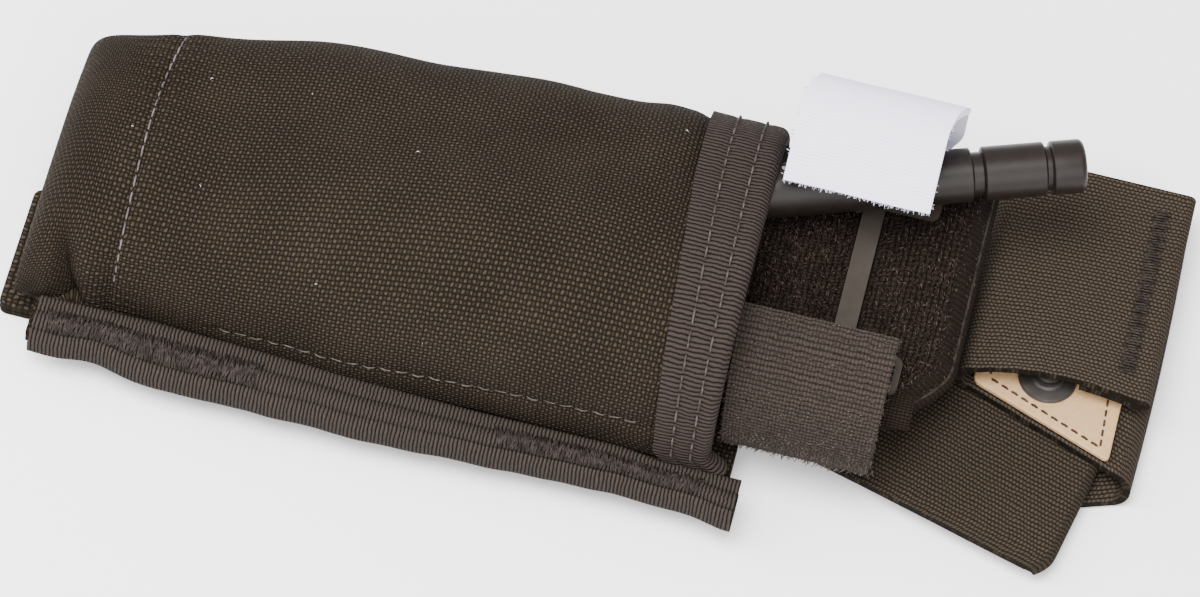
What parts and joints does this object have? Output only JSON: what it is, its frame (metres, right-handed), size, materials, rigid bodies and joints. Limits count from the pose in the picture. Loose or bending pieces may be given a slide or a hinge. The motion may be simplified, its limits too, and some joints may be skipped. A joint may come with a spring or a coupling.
{
  "type": "tourniquet pouch",
  "caption": "Fabric belt pouch lying on its back, holding a folded windlass tourniquet, with an elastic snap strap folded beside its mouth.",
  "frame": {"origin": "centre of the bounding box's underside, on the surface that the pouch lies on", "axes": "+X from the closed end to the mouth, +Z out of the pouch's front"},
  "size_m": [0.1976, 0.0871, 0.0455],
  "materials": {
    "cordura": "coarse plain-weave nylon, dark brown-olive",
    "grosgrain": "ribbed nylon tape, dull",
    "webbing": "woven nylon webbing, dull",
    "elastic": "knitted elastic with fine ribs",
    "leather": "tan, smooth, matt",
    "snap_metal": "blackened, satin",
    "rod_plastic": "satin, dark warm grey",
    "clip_plastic": "matt grey-green",
    "time_cloth": "white, finely ribbed, brushed back",
    "hook_tape": "rows of small hooks",
    "pile": "near-black looped pile",
    "board": "thin plastic sheet"
  },
  "bodies": {
    "pouch": {"pouch_body": "cordura", "back_panel": "cordura", "back_facing": "cordura", "back_lining": "cordura", "back_stiffener": "board", "mouth_binding": "grosgrain", "side_binding_near": "grosgrain", "side_binding_far": "grosgrain", "ladder_webbing_1": "webbing", "ladder_webbing_2": "webbing", "ladder_webbing_3": "webbing", "back_snap_socket_near": "snap_metal", "back_snap_socket_far": "snap_metal", "strap_root_run": "elastic", "strap_lower_run": "elastic", "snap_socket": "snap_metal"},
    "attachment_near": {"attachment_strap_near": "webbing", "strap_snap_stud_near": "snap_metal"},
    "attachment_far": {"attachment_strap_far": "webbing", "strap_snap_stud_far": "snap_metal"},
    "strap_return": {"strap_return_run": "elastic", "snap_patch": "leather", "snap_disc": "snap_metal", "snap_stud": "snap_metal"},
    "strap_end": {"strap_end_run": "elastic", "strap_end_hem": "elastic"},
    "tourniquet": {"tourniquet_band": "pile", "spare_band_fold": "pile", "stabilisation_plate": "clip_plastic", "band_end_tip": "grosgrain", "friction_buckle": "clip_plastic", "windlass_clip": "clip_plastic", "hook_tab_root": "hook_tape"},
    "windlass": {"windlass_rod": "rod_plastic", "inner_ribbon": "webbing"},
    "time_strap": {"time_strap": "time_cloth"},
    "hook_tab": {"hook_tab_flap": "hook_tape"}
  },
  "joints": [
    {"name": "tourniquet_slide", "type": "slide", "parent": "pouch", "child": "tourniquet", "axis": [1, 0, 0], "range_m": [0, 0.22]},
    {"name": "windlass_turn", "type": "hinge", "parent": "tourniquet", "child": "windlass", "pos_m": [0.00047, 0.00115, 0.02845], "axis": [0, 0, -1], "range_deg": [0, 12]},
    {"name": "time_strap_open", "type": "hinge", "parent": "tourniquet", "child": "time_strap", "pos_m": [0.04047, 0.02577, 0.025], "axis": [-1, 0, 0], "range_deg": [0, 110]},
    {"name": "hook_tab_open", "type": "hinge", "parent": "tourniquet", "child": "hook_tab", "pos_m": [0.04047, -0.02973, 0.0136], "axis": [1, 0, 0], "range_deg": [0, 80]},
    {"name": "strap_fold_open", "type": "hinge", "parent": "pouch", "child": "strap_return", "pos_m": [0.09577, -0.00053, 0.00335], "axis": [0, 1, 0], "range_deg": [0, 90]},
    {"name": "strap_end_lift", "type": "hinge", "parent": "strap_return", "child": "strap_end", "pos_m": [0.06578, -0.00453, 0.012], "axis": [0, -0.9985, 0.0555], "range_deg": [0, 45]},
    {"name": "attachment_near_open", "type": "hinge", "parent": "pouch", "child": "attachment_near", "pos_m": [0.02697, -0.01953, 0.0029], "axis": [0, -1, 0], "range_deg": [0, 90]},
    {"name": "attachment_far_open", "type": "hinge", "parent": "pouch", "child": "attachment_far", "pos_m": [0.02697, 0.01847, 0.0029], "axis": [0, -1, 0], "range_deg": [0, 90]}
  ]
}
